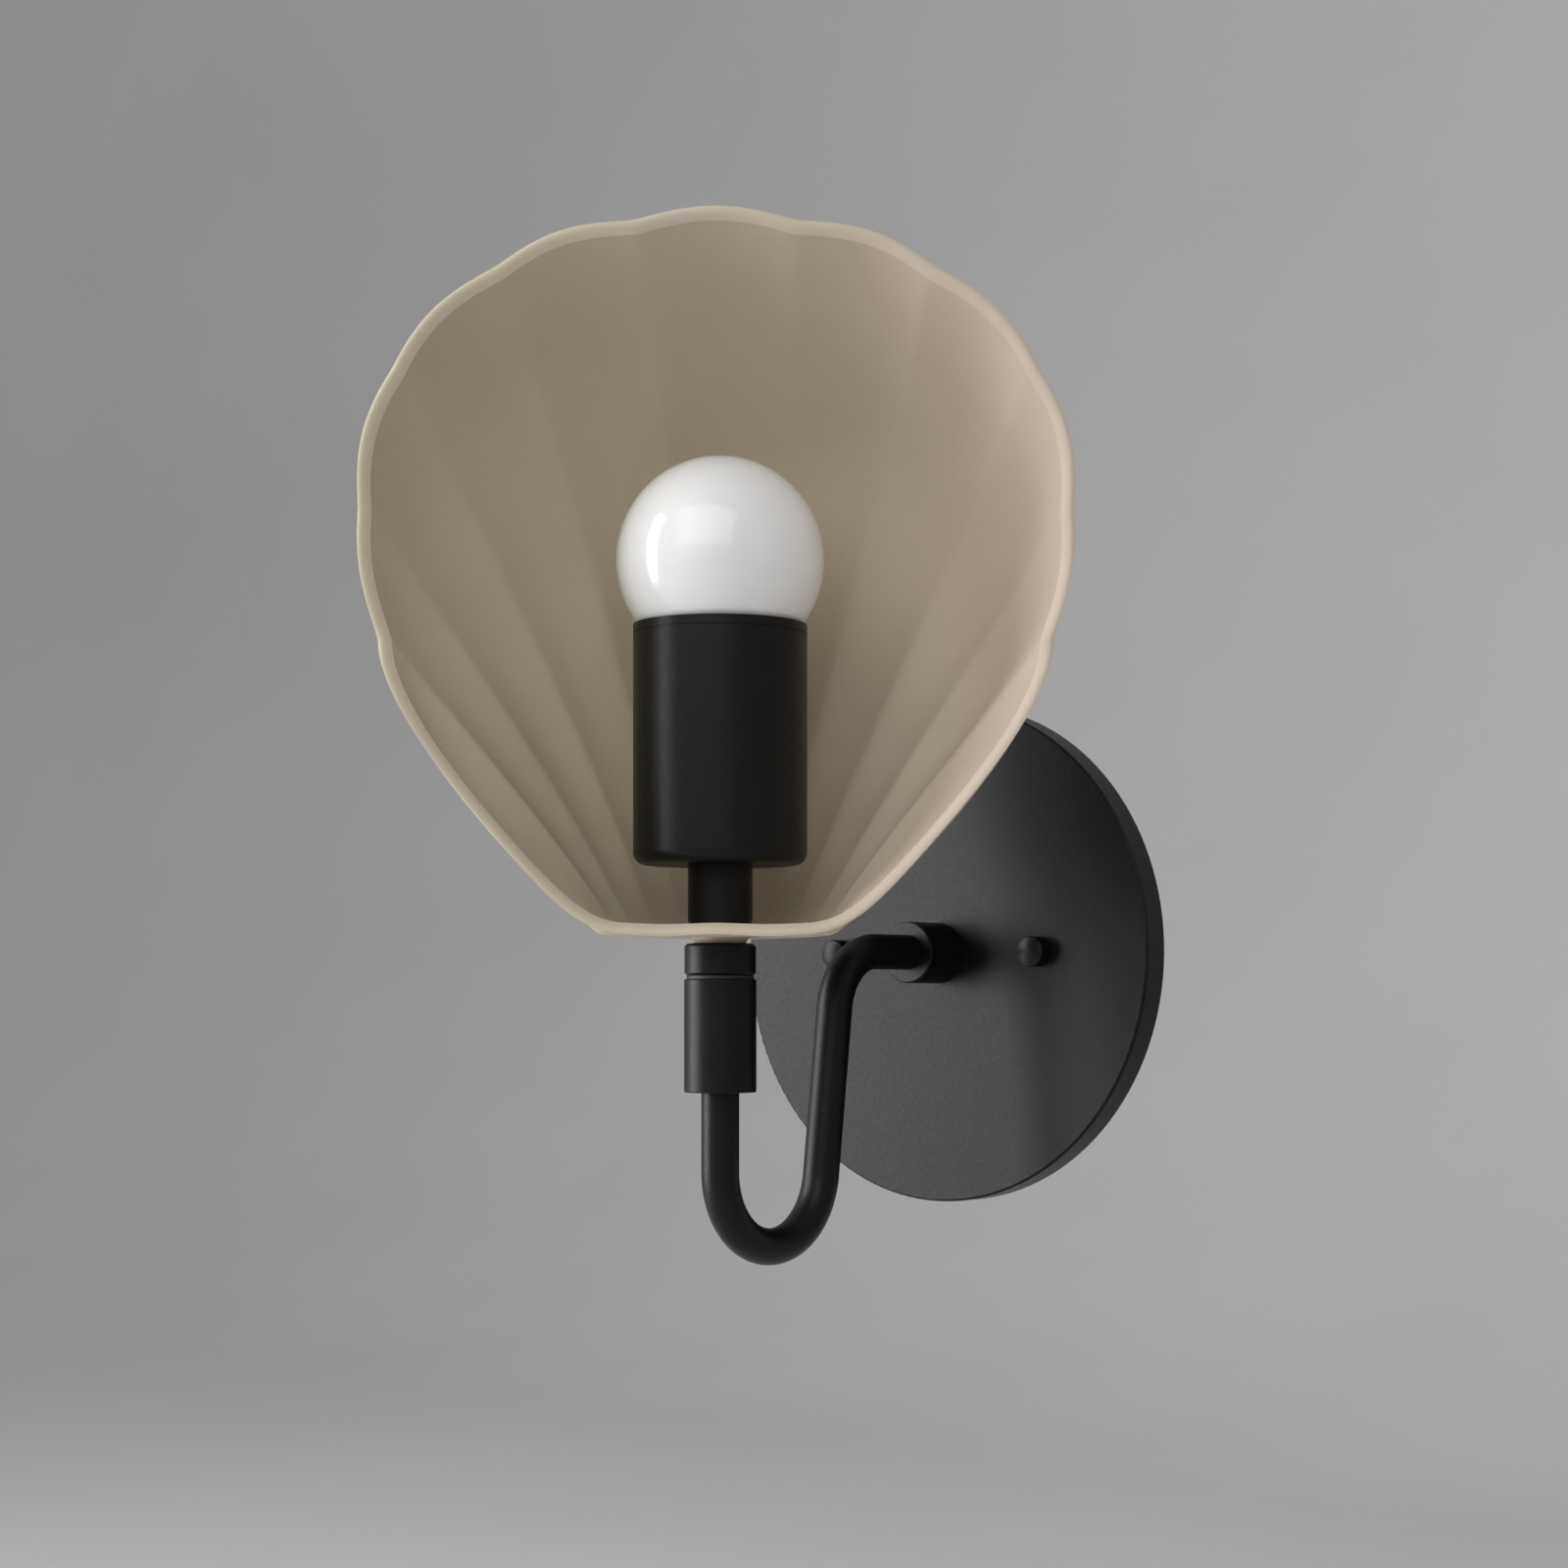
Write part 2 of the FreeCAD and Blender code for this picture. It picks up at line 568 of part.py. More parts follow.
def wall_column(place):
    """One rib of the shade from the stem hole out over the floor and up the wall to the rim.

    It gives the wall's middle points, and how much further out the crisp inner face lies at each.
    """
    foot_across, foot_back = floor_edge(place)
    length = math.hypot(foot_across, foot_back)
    hole = vec(foot_across / length * SHADE_HOLE_R, foot_back / length * SHADE_HOLE_R, FLOOR_Z)
    foot = vec(foot_across, foot_back, FLOOR_Z)
    points = []
    extras = []
    for share in FLOOR_STEPS:
        points.append(hole + (foot - hole) * share)
        extras.append(vec(0, 0, 0))
    soft_swell = flute_swell(place, VALLEY_SOFT)
    crisp_swell = flute_swell(place, RIDGE_SOFT)
    rim_width = (wall_point(place + RIB_STEP, 1) - wall_point(place - RIB_STEP, 1)).Length
    for row in range(WALL_ROWS):
        share = row / (WALL_ROWS - 1)
        middle = wall_point(place, share)
        if row == 0:
            points.append(middle)
            extras.append(vec(0, 0, 0))
            continue
        sideways = wall_point(place + RIB_STEP, share) - wall_point(place - RIB_STEP, share)
        ahead = middle - wall_point(place, share - RIB_STEP)
        out = ahead.cross(sideways)
        out.normalize()
        flat = vec(out.x, 0, out.z)
        flatten = share ** RIM_FLATTEN_POWER
        out = out * (1 - flatten) + flat * flatten
        out.normalize()
        depth = FLUTE_DEPTH * (sideways.Length / rim_width) ** FLUTE_DEPTH_POWER
        depth = depth * (1 - (1 - share) ** FLUTE_RISE_POWER)
        scalloped = share ** SCALLOP_POWER
        depth = depth * (1 - scalloped) + rim_scallop(place) * scalloped
        points.append(middle + out * (depth * soft_swell))
        extras.append(out * (depth * (crisp_swell - soft_swell)))
    return points, extras


def lip_column(place):
    """One line across the floor to the front lip; place runs from -1 at the left corner to 1 at the right."""
    foot = vec(FLOOR_HALF_WIDTH * place, -FLOOR_FRONT, FLOOR_Z)
    across = LIP_HALF_WIDTH * place
    edge = vec(across, -RIM_FRONT, FLOOR_Z + LIP_WAVE * math.cos(LIP_WAVES * math.pi * place))
    length = math.hypot(foot.x, foot.y)
    hole = vec(foot.x / length * SHADE_HOLE_R, foot.y / length * SHADE_HOLE_R, FLOOR_Z)
    points = []
    for share in FLOOR_STEPS:
        points.append(hole + (foot - hole) * share)
    for row in range(WALL_ROWS):
        share = row / (WALL_ROWS - 1)
        points.append(foot + (edge - foot) * share)
    return points, [vec(0, 0, 0)] * len(points)


def shell_columns():
    """The shade's middle surface as closed rings of ribs, running left to right over the back."""
    half = FLUTES / 2
    places = [-half + CORNER_INSET]
    for flute in range(FLUTES):
        for rib in FLUTE_RIBS:
            places.append(flute - half + rib)
    places = places[:1] + places[3:-1] + [half - CORNER_INSET]
    ribs = [wall_column(place) for place in places]
    for step in range(1, LIP_STEPS):
        ribs.append(lip_column(1 - 2 * step / LIP_STEPS))
    return [rib[0] for rib in ribs], [rib[1] for rib in ribs]


def column_normals(columns):
    """The outward direction of the middle surface at every point of the ribs."""
    normals = []
    count = len(columns)
    for index, column in enumerate(columns):
        before = columns[index - 1]
        after = columns[(index + 1) % count]
        row_normals = []
        for row in range(len(column)):
            low = max(row - 1, 0)
            high = min(row + 1, len(column) - 1)
            around = after[row] - before[row]
            ahead = column[high] - column[low]
            normal = ahead.cross(around)
            normal.normalize()
            row_normals.append(normal)
        normals.append(row_normals)
    return normals


def ring_surface(rings, degree):
    """A smooth surface over rings of poles that close on themselves."""
    around = len(rings[0])
    poles = []
    for index in range(around):
        poles.append([one[index] for one in rings])
    across = len(rings)
    spans = across - degree
    cross_knots = [float(knot) for knot in range(spans + 1)]
    cross_mults = [degree + 1] + [1] * (spans - 1) + [degree + 1]
    round_knots = [float(knot) for knot in range(around + 1)]
    surface = Part.BSplineSurface()
    surface.buildFromPolesMultsKnots(poles, [1] * (around + 1), cross_mults, round_knots, cross_knots,
                                     True, False, 3, degree)
    return surface.toShape()


def shell_shade():
    columns, extras = shell_columns()
    normals = column_normals(columns)
    half = SHELL_WALL / 2
    ahead = []
    for column in columns:
        way = column[-1] - column[-2]
        way.normalize()
        ahead.append(way)
    inside = []
    outside = []
    for row in range(len(columns[0])):
        share = max(0, row - len(FLOOR_STEPS)) / (WALL_ROWS - 1)
        bevel = RIM_BEVEL * share ** RIM_BEVEL_POWER
        middle = [column[row] for column in columns]
        offset = [around[row] * half for around in normals]
        extra = [one[row] - way * bevel for one, way in zip(extras, ahead)]
        inside.append([point - out + more for point, out, more in zip(middle, offset, extra)])
        outside.append([point + out for point, out in zip(middle, offset)])
    crest = [(low + high) * 0.5 + way * RIM_ROLL for low, high, way in zip(inside[-1], outside[-1], ahead)]
    rim = [inside[-1], crest, outside[-1]]
    faces = [ring_surface(inside, 3), ring_surface(rim, 2), ring_surface(outside, 3),
             ring_surface([inside[0], outside[0]], 1)]
    shell = Part.makeShell(faces)
    shell.sewShape()
    solid = Part.makeSolid(shell)
    if solid.Volume < 0:
        solid.reverse()
    neck = Part.makeCone(NECK_BOTTOM_R, NECK_TOP_R, FLOOR_UNDER_Z - RING_TOP_Z, vec(0, 0, RING_TOP_Z))
    collar = disc(NECK_TOP_R, FLOOR_UNDER_Z, FLOOR_Z)
    neck = neck.fuse(collar).cut(disc(NECK_HOLE_R, RING_TOP_Z - PAST, FLOOR_Z + PAST))
    return on_axis(solid.fuse(neck).removeSplitter())


def shade_washer():
    return on_axis(ring(SHADE_WASHER_R, STEM_R, FLOOR_TOP_Z, POST_BOTTOM_Z))


def post():
    return on_axis(ring(POST_R, POST_BORE_R, POST_BOTTOM_Z, CUP_BOTTOM_Z))


# ---------------------------------------------------------------- socket
def socket_cup():
    body = disc(CUP_R, CUP_BOTTOM_Z, CUP_TOP_Z)
    low = edges_at(body, lambda e: abs(e.CenterOfMass.z - CUP_BOTTOM_Z) < 0.01 and len(e.Vertexes) == 1)
    body = body.makeFillet(CUP_CORNER_R, low)
    hollow = disc(CUP_R - CUP_WALL, CUP_BOTTOM_Z + CUP_FLOOR, CUP_TOP_Z + PAST)
    low = edges_at(hollow, lambda e: abs(e.CenterOfMass.z - CUP_BOTTOM_Z - CUP_FLOOR) < 0.01
                   and len(e.Vertexes) == 1)
    body = body.cut(hollow.makeFillet(CUP_CORNER_R - CUP_WALL, low))
    line_z = CUP_TOP_Z - CUP_BEAD_DROP
    groove = ring(CUP_R + PAST, CUP_R - CUP_BEAD_DEPTH, line_z - CUP_BEAD_DEPTH, line_z + CUP_BEAD_DEPTH)
    body = body.cut(groove)
    return on_axis(body.cut(disc(STEM_R, CUP_BOTTOM_Z - PAST, CUP_BOTTOM_Z + CUP_FLOOR + PAST)))


def socket_bracket():
    """A bent strap on the stem, under the nut, whose two feet hold up the socket's insulator."""
    base_z = CUP_BOTTOM_Z + CUP_FLOOR
    foot_z = INSULATOR_BOTTOM_Z - BRACKET_THICK
    wide = BRACKET_WIDTH / 2
    strap = Part.makeBox(2 * BRACKET_HALF, BRACKET_WIDTH, BRACKET_THICK, vec(-BRACKET_HALF, -wide, base_z))
    for side in (-1, 1):
        inner = side * (BRACKET_HALF - BRACKET_THICK)
        rise = Part.makeBox(BRACKET_THICK, BRACKET_WIDTH, foot_z + BRACKET_THICK - base_z,
                            vec(min(inner, side * BRACKET_HALF), -wide, base_z))
        foot = Part.makeBox(BRACKET_FOOT, BRACKET_FOOT_WIDTH, BRACKET_THICK,
                            vec(min(inner, inner + side * BRACKET_FOOT), -BRACKET_FOOT_WIDTH / 2, foot_z))
        strap = strap.fuse(rise).fuse(foot)
        strap = strap.cut(Part.makeCylinder(BRACKET_SCREW_R, BRACKET_THICK + 2 * PAST,
                                            vec(side * BRACKET_SCREW_X, 0, foot_z - PAST)))
    strap = strap.cut(disc(STEM_R, base_z - PAST, base_z + BRACKET_THICK + PAST))
    return on_axis(strap.removeSplitter())


def bracket_screws():
    foot_z = INSULATOR_BOTTOM_Z - BRACKET_THICK
    screws = []
    for side in (-1, 1):
        x = side * BRACKET_SCREW_X
        shank = Part.makeCylinder(BRACKET_SCREW_R, BRACKET_THICK + BRACKET_SCREW_GRIP, vec(x, 0, foot_z))
        head = Part.makeCylinder(BRACKET_SCREW_HEAD_R, BRACKET_SCREW_HEAD_H,
                                 vec(x, 0, foot_z - BRACKET_SCREW_HEAD_H))
        screws.append(on_axis(shank.fuse(head)))
    return Part.makeCompound(screws)


def stem_nut():
    base_z = CUP_BOTTOM_Z + CUP_FLOOR + BRACKET_THICK
    nut = hexagon(STEM_NUT_FLATS, vec(0, 0, base_z), Z, STEM_NUT_H)
    return on_axis(nut.cut(disc(STEM_R, base_z - PAST, base_z + STEM_NUT_H + PAST)))


def socket_insulator():
    body = disc(INSULATOR_R, INSULATOR_BOTTOM_Z, INSULATOR_TOP_Z)
    top = edges_at(body, lambda e: abs(e.CenterOfMass.z - INSULATOR_TOP_Z) < 0.01 and len(e.Vertexes) == 1)
    body = body.makeChamfer(INSULATOR_BEVEL, top)
    body = body.cut(disc(SCREW_SHELL_R, INSULATOR_SEAT_Z, INSULATOR_TOP_Z + PAST))
    for side in (-1, 1):
        body = body.cut(Part.makeCylinder(BRACKET_SCREW_R, BRACKET_SCREW_GRIP + PAST,
                                          vec(side * BRACKET_SCREW_X, 0, INSULATOR_BOTTOM_Z - PAST)))
        body = body.cut(Part.makeCylinder(TERMINAL_SCREW_R, TERMINAL_GRIP + PAST,
                                          vec(0, side * TERMINAL_Y, INSULATOR_BOTTOM_Z - PAST)))
    return on_axis(body)


def thread_line(radius, bottom, top, depth):
    """Points down a rolled thread's side, as even rings at the thread's pitch."""
    points = []
    turns = int((top - bottom) / THREAD_PITCH)
    for ridge in range(turns):
        base = bottom + ridge * THREAD_PITCH
        points.append((radius - depth, base))
        points.append((radius - depth * THREAD_SHOULDER, base + THREAD_PITCH / 4))
        points.append((radius, base + THREAD_PITCH / 2))
        points.append((radius - depth * THREAD_SHOULDER, base + THREAD_PITCH * 3 / 4))
    points.append((radius - depth, bottom + turns * THREAD_PITCH))
    points.append((radius - depth, top))
    return points


def screw_shell():
    inner = SCREW_SHELL_R - SCREW_SHELL_WALL
    tube = ring(SCREW_SHELL_R, inner, SCREW_SHELL_BOTTOM_Z, SCREW_SHELL_TOP_Z)
    foot = ring(SCREW_SHELL_R, SCREW_SHELL_MOUTH_R, SCREW_SHELL_BOTTOM_Z,
                SCREW_SHELL_BOTTOM_Z + SCREW_SHELL_WALL)
    seat = ring(SCREW_SHELL_R, SCREW_SHELL_R - SCREW_SHELL_SEAT, INSULATOR_SEAT_Z, SCREW_SHELL_BOTTOM_Z)
    return on_axis(tube.fuse(foot).fuse(seat).removeSplitter())


def centre_contact():
    return on_axis(disc(CONTACT_R, INSULATOR_SEAT_Z, INSULATOR_SEAT_Z + CONTACT_H))


def terminal_screws():
    screws = []
    for side in (-1, 1):
        shank = Part.makeCylinder(TERMINAL_SCREW_R, TERMINAL_GRIP,
                                  vec(0, side * TERMINAL_Y, INSULATOR_BOTTOM_Z))
        head = Part.makeCylinder(TERMINAL_HEAD_R, TERMINAL_HEAD_H,
                                 vec(0, side * TERMINAL_Y, INSULATOR_BOTTOM_Z - TERMINAL_HEAD_H))
        screws.append(on_axis(shank.fuse(head)))
    return Part.makeCompound(screws)


def socket_cable():
    return on_axis(disc(CABLE_R, SWIVEL_TOP_Z + CABLE_GAP, STEM_TOP_Z + CABLE_LAP))


def lead(side):
    """One of the two leads from the cable's end out to its terminal screw."""
    start = vec(0, side * CABLE_R / 2, STEM_TOP_Z + CABLE_LAP)
    end = vec(0, side * TERMINAL_Y, INSULATOR_BOTTOM_Z - TERMINAL_HEAD_H)
    curve = Part.BezierCurve()
    bend = vec(0, 0, LEAD_BEND)
    curve.setPoles([start, start + bend, end - bend, end])
    path = Part.Wire(curve.toShape())
    section = Part.Wire(Part.makeCircle(LEAD_R, start, Z))
    return on_axis(path.makePipeShell([section], True, False))


def line_lead():
    return lead(-1)


def neutral_lead():
    return lead(1)


# ---------------------------------------------------------------- bulb
def globe_outline(radius, neck_r, blend_z, bottom_z):
    """Half the outline of a globe that runs into a round neck."""
    reach = math.sqrt(radius ** 2 - (GLOBE_Z - blend_z) ** 2)
    blend = vec(reach, 0, blend_z)
    top = vec(0, 0, GLOBE_Z + radius)
    middle = vec(radius, 0, GLOBE_Z)
    neck_top = vec(neck_r, 0, blend_z - GLOBE_NECK_DROP)
    neck_end = vec(neck_r, 0, bottom_z)
    tangent = vec(-(GLOBE_Z - blend_z), 0, -reach)
    tangent.normalize()
    curve = Part.BezierCurve()
    curve.setPoles([blend, blend + tangent * GLOBE_BLEND_PULL, neck_top + vec(0, 0, GLOBE_NECK_PULL), neck_top])
    return [Part.Arc(top, middle, blend).toShape(), curve.toShape(),
            Part.makeLine(neck_top, neck_end), Part.makeLine(neck_end, vec(0, 0, bottom_z)),
            Part.makeLine(vec(0, 0, bottom_z), top)]


def globe_solid(radius, neck_r, blend_z, bottom_z):
    wire = Part.Wire(globe_outline(radius, neck_r, blend_z, bottom_z))
    return Part.Face(wire).revolve(vec(0, 0, 0), Z, 360)


def bulb_globe():
    inner_r = GLOBE_R - GLOBE_WALL
    outer = globe_solid(GLOBE_R, GLOBE_NECK_R, GLOBE_NECK_BLEND_Z, CAP_TOP_Z)
    inner = globe_solid(inner_r, GLOBE_NECK_R - GLOBE_WALL, GLOBE_NECK_BLEND_Z + GLOBE_INNER_LIFT,
                        CAP_TOP_Z - PAST)
    return on_axis(outer.cut(inner))


def bulb_cap():
    side = thread_line(CAP_R, CAP_BOTTOM_Z, CAP_TOP_Z, THREAD_DEPTH)
    inner = CAP_R - THREAD_DEPTH - CAP_WALL
    outline = [(inner, CAP_BOTTOM_Z)] + side + [(inner, CAP_TOP_Z)]
    return on_axis(revolve_profile(outline))


def bulb_insulator():
    wide = CAP_R - THREAD_DEPTH - CAP_WALL
    low = TIP_Z + TIP_H
    high = CAP_BOTTOM_Z + BULB_INSULATOR_GRIP
    outline = [(0, low), (TIP_R, low), (wide, CAP_BOTTOM_Z), (wide, high), (0, high)]
    return on_axis(revolve_profile(outline))


def bulb_tip():
    return on_axis(disc(TIP_R - TIP_STEP, TIP_Z, TIP_Z + TIP_H))


def bulb_led_post():
    post_bottom = CAP_TOP_Z - LED_PLUG_H
    plug = disc(CAP_R - THREAD_DEPTH - CAP_WALL, post_bottom, CAP_TOP_Z)
    stalk = disc(LED_POST_R, CAP_TOP_Z, LED_POST_TOP_Z)
    head = disc(LED_DISC_R, LED_POST_TOP_Z, LED_POST_TOP_Z + LED_DISC_H)
    return on_axis(plug.fuse(stalk).fuse(head).removeSplitter())


PIECES = (backplate, mounting_strap, mounting_studs, cap_nuts, ground_screw, hub, hub_nipple, hub_washer,
          hub_nut, arm_tube, arm_cable, swivel_body, stop_pin, swivel_plug, swivel_stem, swivel_washer,
          swivel_ring, shell_shade, shade_washer, post, socket_cup, socket_bracket, bracket_screws, stem_nut,
          socket_insulator, screw_shell, centre_contact, terminal_screws, socket_cable, line_lead,
          neutral_lead, bulb_globe, bulb_cap, bulb_insulator, bulb_tip, bulb_led_post)

os.makedirs("parts", exist_ok=True)
for piece in PIECES:
    piece().exportStep("parts/" + piece.__name__ + ".step")
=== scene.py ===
import json
import math
import bpy
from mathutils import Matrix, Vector


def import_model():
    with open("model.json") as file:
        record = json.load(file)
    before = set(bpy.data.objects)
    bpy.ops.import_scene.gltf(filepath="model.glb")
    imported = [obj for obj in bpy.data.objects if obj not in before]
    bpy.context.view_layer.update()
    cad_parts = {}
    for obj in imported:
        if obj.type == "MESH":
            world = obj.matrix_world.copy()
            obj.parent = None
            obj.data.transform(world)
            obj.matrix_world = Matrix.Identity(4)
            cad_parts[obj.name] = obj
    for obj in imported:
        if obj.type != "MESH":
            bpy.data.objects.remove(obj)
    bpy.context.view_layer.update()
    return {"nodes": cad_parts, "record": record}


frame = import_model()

nodes = frame["nodes"]

# Wall sconce with a fluted ceramic shell shade. Every solid keeps its shape and gets its material here.

# ---- light ----
WORLD_STRENGTH = 0.46
MIDDLE = (0.0, -0.09, 0.06)
KEY_SPOT = (-1.10, -0.98, 0.28)
KEY_SIZE = (0.95, 1.6)
KEY_WATTS = 33.0
FILL_SPOT = (0.55, -1.35, 0.95)
FILL_SIZE = (1.8, 1.3)
FILL_WATTS = 12.0

# ---- camera ----
CAMERA_SPOT = (0.4574, -0.6151, -0.0140)
CAMERA_AIM = (0.0, -0.050, -0.0140)
PHOTO = 1600.0
FOCAL_PX = 2850.0
CENTRE_PX = (857.4, 1025.1)
SENSOR = 36.0
NEAR_CLIP = 0.01

# ---- stage ----
FLOOR_Z = -0.42
BACK_Y = 2.6
STAGE_HALF = 7.0
COVE_R = 1.2
COVE_STEPS = 24

# where along X the shade's colour starts and ends turning from a cooler tone at -X to a warmer tone at +X
WARM_FROM_X = -0.05
WARM_TO_X = 0.06
SPECK_SHARE = 0.35

# ---------------------------------------------------------------- materials


class Maker:
    """One node material, built up a node at a time in the object's own coordinates, which are metres."""

    def __init__(self, name):
        self.material = bpy.data.materials.new(name)
        self.material.use_nodes = True
        self.tree = self.material.node_tree
        self.shader = self.tree.nodes["Principled BSDF"]
        self.place = self.tree.nodes.new("ShaderNodeTexCoord").outputs["Object"]

    def link(self, start, end):
        self.tree.links.new(start, end)

    def set(self, **values):
        for name, value in values.items():
            self.shader.inputs[name.replace("_", " ")].default_value = value

    def stretched(self, scale):
        node = self.tree.nodes.new("ShaderNodeMapping")
        node.inputs["Scale"].default_value = scale
        self.link(self.place, node.inputs["Vector"])
        return node.outputs["Vector"]

    def along(self, axis):
        """The place along one of the object's own axes, in metres."""
        node = self.tree.nodes.new("ShaderNodeSeparateXYZ")
        self.link(self.place, node.inputs["Vector"])
        return node.outputs[axis]

    def noise(self, scale, detail=3.0, rough=0.55, where=None):
        node = self.tree.nodes.new("ShaderNodeTexNoise")
        node.inputs["Scale"].default_value = scale
        node.inputs["Detail"].default_value = detail
        node.inputs["Roughness"].default_value = rough
        self.link(where or self.place, node.inputs["Vector"])
        return node.outputs["Fac"]

    def ramp(self, value, stops):
        node = self.tree.nodes.new("ShaderNodeValToRGB")
        band = node.color_ramp
        while len(band.elements) < len(stops):
            band.elements.new(0.5)
        for element, (place, colour) in zip(band.elements, stops):
            element.position = place
            element.color = (*colour, 1.0)
        self.link(value, node.inputs["Fac"])
        return node.outputs["Color"]

    def spread(self, value, low, high, from_low=0.3, from_high=0.7):
        node = self.tree.nodes.new("ShaderNodeMapRange")
        node.inputs["From Min"].default_value = from_low
        node.inputs["From Max"].default_value = from_high
        node.inputs["To Min"].default_value = low
        node.inputs["To Max"].default_value = high
        self.link(value, node.inputs["Value"])
        return node.outputs["Result"]

    def mix(self, share, first, second, how="MIX"):
        node = self.tree.nodes.new("ShaderNodeMix")
        node.data_type = "RGBA"
        node.blend_type = how
        colours = [socket for socket in node.inputs if socket.type == "RGBA"]
        shares = [socket for socket in node.inputs if socket.type == "VALUE"]
        for socket, value in ((shares[0], share), (colours[0], first), (colours[1], second)):
            if isinstance(value, bpy.types.NodeSocket):
                self.link(value, socket)
            else:
                socket.default_value = value
        return [socket for socket in node.outputs if socket.type == "RGBA"][0]

    def bump(self, *layers):
        """Layers of (height, distance in metres, strength), one bump over another."""
        normal = None
        for height, distance, strength in layers:
            node = self.tree.nodes.new("ShaderNodeBump")
            node.inputs["Distance"].default_value = distance
            node.inputs["Strength"].default_value = strength
            self.link(height, node.inputs["Height"])
            if normal is not None:
                self.link(normal, node.inputs["Normal"])
            normal = node.outputs["Normal"]
        self.link(normal, self.shader.inputs["Normal"])

    def colour(self, value):
        self.link(value, self.shader.inputs["Base Color"])

    def rough(self, value):
        self.link(value, self.shader.inputs["Roughness"])


def ceramic():
    """Matte taupe glaze: soft clouds of tone, fine dark specks and a fine grain."""
    m = Maker("taupe_ceramic")
    cloud = m.noise(18.0, 3.0, 0.5)
    cool = m.ramp(cloud, [
        (0.30, (0.490, 0.428, 0.312)), (0.55, (0.520, 0.455, 0.334)), (0.75, (0.545, 0.478, 0.352)),
    ])
    warm = m.ramp(cloud, [
        (0.30, (0.520, 0.436, 0.352)), (0.55, (0.548, 0.460, 0.374)), (0.75, (0.572, 0.482, 0.394)),
    ])
    # the colour turns from the cooler tone at -X to the warmer tone at +X
    body = m.mix(m.spread(m.along(0), 0.0, 1.0, WARM_FROM_X, WARM_TO_X), cool, warm)
    grain = m.noise(2600.0, 2.0, 0.6)
    speck = m.ramp(grain, [(0.28, (0.80, 0.79, 0.78)), (0.44, (1.0, 1.0, 1.0)), (1.0, (1.0, 1.0, 1.0))])
    m.colour(m.mix(SPECK_SHARE, body, speck, "MULTIPLY"))
    m.rough(m.spread(m.noise(700.0, 2.0), 0.50, 0.64))
    m.bump((m.noise(60.0, 2.0), 0.0004, 0.35), (m.noise(2200.0, 3.0, 0.6), 0.00006, 0.5))
    m.set(Specular_IOR_Level=0.42)
    return m.material


def powder_coat():
    """Black powder coat: a fine orange-peel grain over a semi-matte black."""
    m = Maker("black_powder_coat")
    tone = m.noise(45.0, 3.0)
    m.colour(m.ramp(tone, [(0.3, (0.0024, 0.0024, 0.0025)), (0.7, (0.0042, 0.0041, 0.0041))]))
    m.rough(m.spread(m.noise(900.0, 3.0), 0.34, 0.42))
    m.bump((m.noise(1500.0, 3.0, 0.6), 0.00005, 0.45), (m.noise(300.0, 2.0), 0.00005, 0.3))
    m.set(Specular_IOR_Level=0.20)
    return m.material


def opal_glass():
    """White opal glass: light passes a little way in, under a clear smooth skin."""
    m = Maker("opal_glass")
    m.colour(m.ramp(m.noise(30.0, 2.0), [(0.3, (0.86, 0.86, 0.86)), (0.7, (0.90, 0.90, 0.895))]))
    m.rough(m.spread(m.noise(120.0, 2.0), 0.10, 0.15))
    m.bump((m.noise(25.0, 2.0), 0.0004, 0.12))
    m.set(Subsurface_Weight=0.35, Subsurface_Radius=(0.012, 0.012, 0.012), Subsurface_Scale=0.5,
          Coat_Weight=0.25, Coat_Roughness=0.08)
    return m.material


def plated(name, low, high, rough_low, rough_high, stretch):
    """Metal with fine drawn lines across one direction."""
    m = Maker(name)
    m.colour(m.ramp(m.noise(80.0, 3.0), [(0.3, low), (0.7, high)]))
    lines = m.noise(1.0, 4.0, 0.6, m.stretched(stretch))
    m.rough(m.spread(lines, rough_low, rough_high))
    m.bump((lines, 0.00003, 0.4))
    m.set(Metallic=1.0)
    return m.material


def plastic(name, low, high, rough_low, rough_high, grain=900.0):
    """A smooth non-metal: two near tones and a fine grain."""
    m = Maker(name)
    m.colour(m.ramp(m.noise(120.0, 3.0), [(0.3, low), (0.7, high)]))
    m.rough(m.spread(m.noise(grain, 2.0), rough_low, rough_high))
    m.bump((m.noise(grain, 2.0), 0.00004, 0.3))
    return m.material


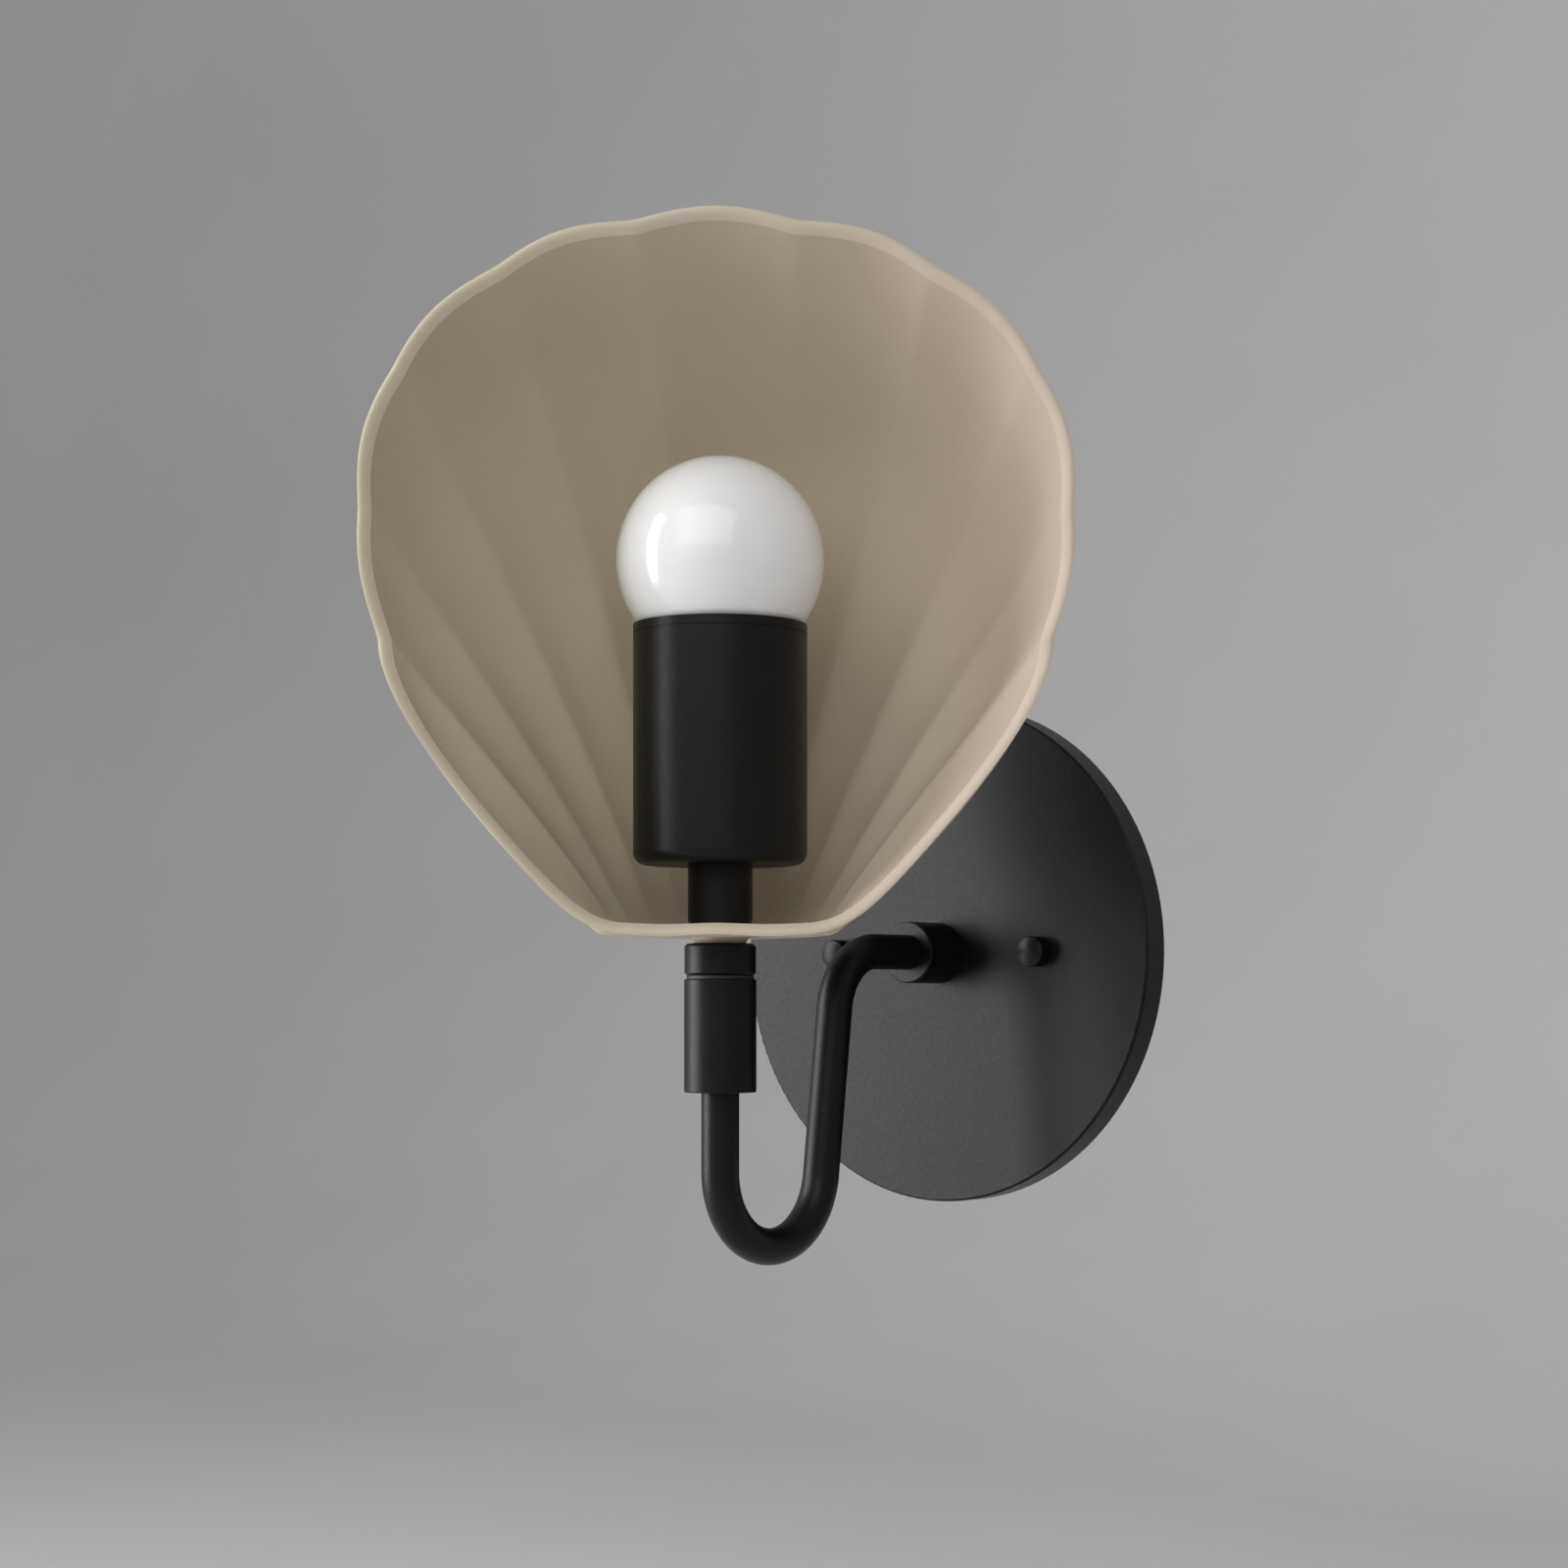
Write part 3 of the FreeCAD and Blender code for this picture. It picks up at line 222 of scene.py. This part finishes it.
LOOKS = {
    "taupe_ceramic": ceramic(),
    "black_powder_coat": powder_coat(),
    "opal_glass": opal_glass(),
    "zinc_steel": plated(
        "zinc_steel", (0.52, 0.53, 0.54), (0.62, 0.62, 0.60), 0.26, 0.42, (60, 60, 2400)),
    "socket_brass": plated(
        "socket_brass", (0.70, 0.50, 0.20), (0.78, 0.58, 0.27), 0.18, 0.32, (90, 90, 1800)),
    "cap_nickel": plated(
        "cap_nickel", (0.70, 0.69, 0.66), (0.78, 0.77, 0.74), 0.16, 0.28, (60, 60, 1500)),
    "green_screw": plastic(
        "green_screw", (0.02, 0.20, 0.05), (0.03, 0.26, 0.07), 0.25, 0.35),
    "nylon_washer": plastic(
        "nylon_washer", (0.006, 0.006, 0.006), (0.010, 0.010, 0.010), 0.55, 0.65),
    "cable_jacket": plastic(
        "cable_jacket", (0.012, 0.012, 0.012), (0.020, 0.020, 0.020), 0.45, 0.58),
    "lead_black": plastic(
        "lead_black", (0.010, 0.010, 0.010), (0.018, 0.018, 0.018), 0.30, 0.40),
    "lead_white": plastic(
        "lead_white", (0.72, 0.72, 0.70), (0.80, 0.80, 0.78), 0.30, 0.40),
    "porcelain": plastic(
        "porcelain", (0.78, 0.77, 0.73), (0.86, 0.85, 0.81), 0.12, 0.22, 200.0),
    "bulb_black_glass": plastic(
        "bulb_black_glass", (0.008, 0.008, 0.010), (0.016, 0.016, 0.018), 0.06, 0.12, 200.0),
    "led_white": plastic(
        "led_white", (0.74, 0.74, 0.72), (0.82, 0.82, 0.80), 0.40, 0.52),
}

for part in frame["record"]["subparts"]:
    piece = nodes[part["node"]]
    piece.data.materials.clear()
    piece.data.materials.append(LOOKS[part["material_slot"]])

# ---------------------------------------------------------------- stage, light, camera


def stage_material():
    m = Maker("studio_paint")
    m.colour(m.ramp(m.noise(3.0, 2.0), [(0.3, (0.600, 0.600, 0.600)), (0.7, (0.620, 0.620, 0.620))]))
    m.rough(m.spread(m.noise(40.0, 2.0), 0.80, 0.90))
    return m.material


def cove():
    """A plain floor that curves up into a plain back wall."""
    line = [(-STAGE_HALF, FLOOR_Z), (BACK_Y - COVE_R, FLOOR_Z)]
    for step in range(1, COVE_STEPS + 1):
        turn = math.pi / 2 * step / COVE_STEPS
        line.append((BACK_Y - COVE_R + COVE_R * math.sin(turn), FLOOR_Z + COVE_R - COVE_R * math.cos(turn)))
    line.append((BACK_Y, FLOOR_Z + STAGE_HALF))
    verts = []
    faces = []
    for y, z in line:
        verts.append((-STAGE_HALF, y, z))
        verts.append((STAGE_HALF, y, z))
    for index in range(len(line) - 1):
        low = 2 * index
        faces.append((low, low + 1, low + 3, low + 2))
    mesh = bpy.data.meshes.new("floor")
    mesh.from_pydata(verts, [], faces)
    for face in mesh.polygons:
        face.use_smooth = True
    floor = bpy.data.objects.new("floor", mesh)
    bpy.context.scene.collection.objects.link(floor)
    floor.data.materials.append(stage_material())


def area_light(name, spot, size, power):
    """A rectangular soft light aimed at the middle of the lamp."""
    data = bpy.data.lights.new(name, "AREA")
    data.shape = "RECTANGLE"
    data.size, data.size_y = size
    data.energy = power
    lamp = bpy.data.objects.new(name, data)
    bpy.context.scene.collection.objects.link(lamp)
    lamp.location = spot
    lamp.rotation_euler = (Vector(MIDDLE) - Vector(spot)).to_track_quat("-Z", "Y").to_euler()


def world(strength):
    scene_world = bpy.data.worlds.new("studio")
    bpy.context.scene.world = scene_world
    scene_world.use_nodes = True
    back = scene_world.node_tree.nodes["Background"]
    back.inputs["Color"].default_value = (1.0, 1.0, 1.0, 1.0)
    back.inputs["Strength"].default_value = strength


cove()
world(WORLD_STRENGTH)
area_light("key", KEY_SPOT, KEY_SIZE, KEY_WATTS)
area_light("fill", FILL_SPOT, FILL_SIZE, FILL_WATTS)

data = bpy.data.cameras.new("photo_camera")
data.sensor_width = SENSOR
data.lens = FOCAL_PX / PHOTO * SENSOR
data.shift_x = (PHOTO / 2 - CENTRE_PX[0]) / PHOTO
data.shift_y = (CENTRE_PX[1] - PHOTO / 2) / PHOTO
data.clip_start = NEAR_CLIP
camera = bpy.data.objects.new("photo_camera", data)
bpy.context.scene.collection.objects.link(camera)
camera.location = CAMERA_SPOT
camera.rotation_euler = (Vector(CAMERA_AIM) - Vector(CAMERA_SPOT)).to_track_quat("-Z", "Y").to_euler()
bpy.context.scene.camera = camera
bpy.context.scene.view_settings.view_transform = "Standard"
